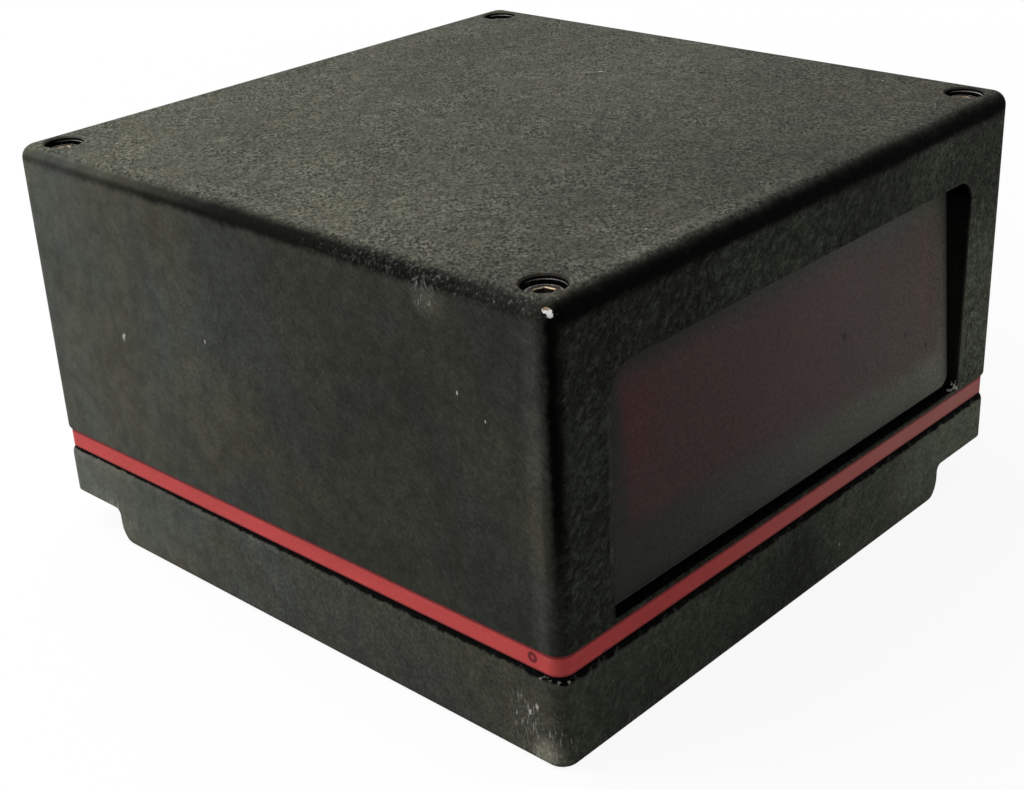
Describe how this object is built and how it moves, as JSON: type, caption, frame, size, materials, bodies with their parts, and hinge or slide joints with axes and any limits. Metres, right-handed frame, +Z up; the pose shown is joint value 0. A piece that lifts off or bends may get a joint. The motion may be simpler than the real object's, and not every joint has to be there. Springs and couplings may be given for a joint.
{
  "type": "fixed barcode reader",
  "caption": "Square black cast fixed laser barcode reader with a sloping red window, red gasket, sunk corner screws, rear round connector and a spinning mirror wheel inside.",
  "frame": {"origin": "middle of the housing's plan, at the underside of the foot", "axes": "+X to the right along the window face, -Y out of the window, +Z up"},
  "size_m": [0.112, 0.1245, 0.0673],
  "materials": {
    "black_paint": "satin",
    "red_silicone": "matte",
    "red_filter": "gloss",
    "black_rubber": "matte",
    "black_screw": "blackened",
    "nickel_plate": "satin",
    "connector_black": "matte",
    "gold_plate": "gloss",
    "turned_brass": "satin",
    "black_wire": "satin",
    "board_green": "gloss",
    "chip_black": "matte",
    "can_blue": "gloss",
    "tin_can": "satin",
    "cream_nylon": "matte",
    "plain_aluminium": "satin",
    "zinc_steel": "satin",
    "copper_wire": "gloss",
    "ferrite": "matte",
    "front_mirror": "polished",
    "black_steel": "matte",
    "post_plastic": "matte",
    "lens_glass": "polished"
  },
  "bodies": {
    "housing": {"base": "black_paint", "cover": "black_paint", "housing_gasket": "red_silicone", "window": "red_filter", "window_seal": "black_rubber", "connector_washer": "black_rubber", "cover_screws": "black_screw", "connector_shell": "nickel_plate", "connector_nut": "nickel_plate", "connector_insert": "connector_black", "connector_cups": "gold_plate", "laser_diode": "gold_plate", "standoffs": "turned_brass", "laser_barrel": "turned_brass", "bearing_sleeve": "turned_brass", "wire_harness": "black_wire", "harness_boot": "black_wire", "laser_leads": "black_wire", "motor_leads": "black_wire", "detector_leads": "black_wire", "main_board": "board_green", "detector_board": "board_green", "processor": "chip_black", "memory_chips": "chip_black", "inductor": "chip_black", "motor_driver": "chip_black", "capacitors": "can_blue", "crystal": "tin_can", "photodiode": "tin_can", "wire_header": "cream_nylon", "lead_headers": "cream_nylon", "motor_header": "cream_nylon", "chassis": "plain_aluminium", "laser_block": "plain_aluminium", "chassis_screws": "zinc_steel", "motor_screws": "zinc_steel", "bracket_screws": "zinc_steel", "clamp_screw": "zinc_steel", "motor_plate": "zinc_steel", "motor_coils": "copper_wire", "fold_mirror": "front_mirror", "collecting_mirror": "front_mirror", "mirror_bracket": "black_steel", "detector_bracket": "black_steel", "fold_post": "post_plastic", "laser_lens": "lens_glass"},
    "scan_wheel": {"rotor_hub": "zinc_steel", "ring_magnet": "ferrite", "mirror_wheel": "front_mirror", "wheel_clip": "black_steel"}
  },
  "joints": [
    {"name": "wheel_spin", "type": "hinge", "parent": "housing", "child": "scan_wheel", "pos_m": [0.01131, 0.008, 0.0373], "axis": [0, 0, 1], "continuous": true}
  ]
}
